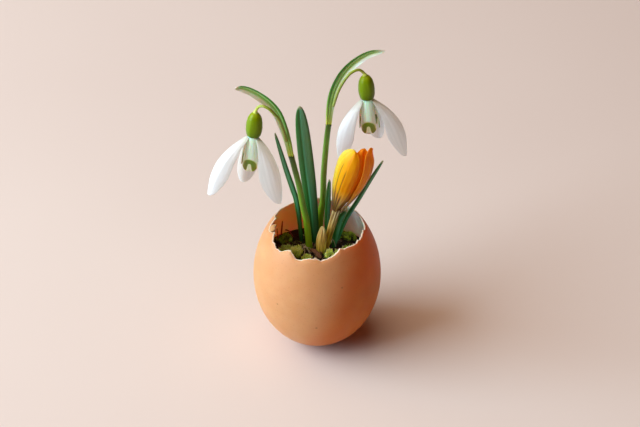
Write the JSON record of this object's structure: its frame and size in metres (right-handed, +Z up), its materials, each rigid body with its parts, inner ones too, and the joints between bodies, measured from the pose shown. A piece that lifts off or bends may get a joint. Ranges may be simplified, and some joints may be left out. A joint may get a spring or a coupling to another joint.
{
  "type": "eggshell planter with snowdrops and crocus",
  "caption": "Broken brown eggshell with a jagged rim, filled with soil and moss and planted with snowdrops, a yellow crocus and their leaves. It stands on its blunt end.",
  "frame": {"origin": "middle of the small flat spot on the blunt end that the shell stands on", "axes": "+Z up, +X to the right as seen from the front, +Y to the back; the flower stems stand behind the egg's axis"},
  "size_m": [0.067, 0.0439, 0.1057],
  "materials": {
    "eggshell": "matt brown eggshell, fine pores, cream white broken edge and pale membrane inside",
    "potting_soil": "dark moist crumbly soil",
    "moss": "soft leafy moss, yellow green to dark olive",
    "snowdrop_stem": "smooth satin green stem",
    "snowdrop_spathe": "green ribs with thin whitish membrane",
    "snowdrop_ovary": "smooth satin yellow green",
    "snowdrop_tepal": "soft satin white petal, faint veins, green mark on the inner ones",
    "crocus_tepal": "satin orange yellow petal with brown feathering at its base",
    "crocus_tube": "papery brown striped sheath round the flower tube",
    "crocus_sheath": "dry papery tan sheath",
    "leaf": "satin dark green leaf with fine parallel veins"
  },
  "bodies": {
    "root": {"eggshell": "eggshell", "soil": "potting_soil", "moss_1": "moss", "moss_2": "moss", "moss_3": "moss", "moss_4": "moss", "moss_5": "moss", "moss_6": "moss", "moss_7": "moss", "moss_8": "moss", "moss_9": "moss", "moss_10": "moss", "moss_11": "moss", "snowdrop_left_stem": "snowdrop_stem", "snowdrop_left_spathe": "snowdrop_spathe", "snowdrop_left_pedicel": "snowdrop_stem", "snowdrop_left_ovary": "snowdrop_ovary", "snowdrop_left_outer_tepal_1": "snowdrop_tepal", "snowdrop_left_inner_tepal_1": "snowdrop_tepal", "snowdrop_left_outer_tepal_2": "snowdrop_tepal", "snowdrop_left_inner_tepal_2": "snowdrop_tepal", "snowdrop_left_outer_tepal_3": "snowdrop_tepal", "snowdrop_left_inner_tepal_3": "snowdrop_tepal", "snowdrop_right_stem": "snowdrop_stem", "snowdrop_right_spathe": "snowdrop_spathe", "snowdrop_right_pedicel": "snowdrop_stem", "snowdrop_right_ovary": "snowdrop_ovary", "snowdrop_right_outer_tepal_1": "snowdrop_tepal", "snowdrop_right_inner_tepal_1": "snowdrop_tepal", "snowdrop_right_outer_tepal_2": "snowdrop_tepal", "snowdrop_right_inner_tepal_2": "snowdrop_tepal", "snowdrop_right_outer_tepal_3": "snowdrop_tepal", "snowdrop_right_inner_tepal_3": "snowdrop_tepal", "crocus_tube": "crocus_tube", "crocus_sheath": "crocus_sheath", "crocus_outer_tepal_1": "crocus_tepal", "crocus_inner_tepal_1": "crocus_tepal", "crocus_outer_tepal_2": "crocus_tepal", "crocus_inner_tepal_2": "crocus_tepal", "crocus_outer_tepal_3": "crocus_tepal", "crocus_inner_tepal_3": "crocus_tepal", "leaf_left_thin": "leaf", "leaf_centre_broad": "leaf", "leaf_middle_short": "leaf", "leaf_right_thin": "leaf", "leaf_right_short": "leaf"}
  },
  "joints": []
}
